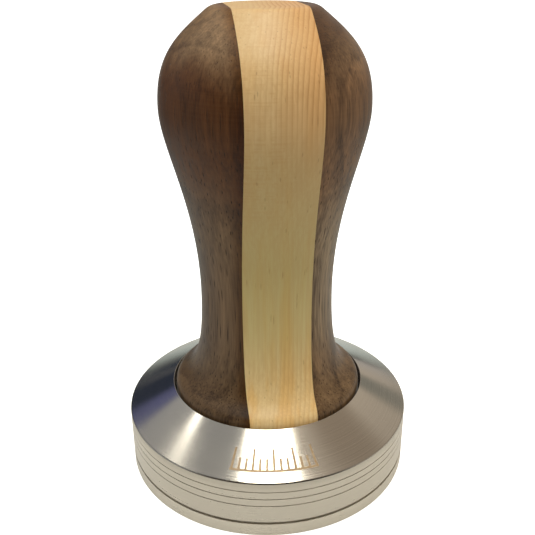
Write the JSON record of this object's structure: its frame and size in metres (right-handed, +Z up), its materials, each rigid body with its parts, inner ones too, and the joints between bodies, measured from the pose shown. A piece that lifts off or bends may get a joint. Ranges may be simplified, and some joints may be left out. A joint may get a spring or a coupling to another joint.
{
  "type": "espresso tamper",
  "caption": "Espresso tamper: a flat grooved steel base with a coned shoulder and a bulb-shaped laminated wood handle that unscrews from it.",
  "frame": {"origin": "centre of the flat sole", "axes": "+Z up along the axis of the handle and the base; the pale middle stave faces -Y and +Y, and the glue planes are parallel to the YZ plane"},
  "size_m": [0.0574, 0.0574, 0.09],
  "materials": {
    "base_steel": "fine turned, polished cone and satin wall",
    "stud_steel": "machined thread",
    "washer_rubber": "matt moulded",
    "insert_brass": "machined",
    "walnut": "satin oiled",
    "maple": "satin oiled"
  },
  "bodies": {
    "base": {"base": "base_steel", "base_stud": "stud_steel"},
    "washer": {"foot_washer": "washer_rubber"},
    "handle": {"threaded_insert": "insert_brass", "walnut_stave_left": "walnut", "maple_stave_center": "maple", "walnut_stave_right": "walnut"}
  },
  "joints": [
    {"name": "handle_unscrew", "type": "hinge", "parent": "base", "child": "washer", "pos_m": [0, 0, 0.0124], "axis": [0, 0, 1], "range_deg": [0, 3240]},
    {"name": "handle_rise", "type": "slide", "parent": "washer", "child": "handle", "axis": [0, 0, 1], "range_m": [0, 0.01126]}
  ],
  "couplings": [
    {"joint": "handle_rise", "follows": "handle_unscrew", "m_per_rad": 0.00019894}
  ]
}
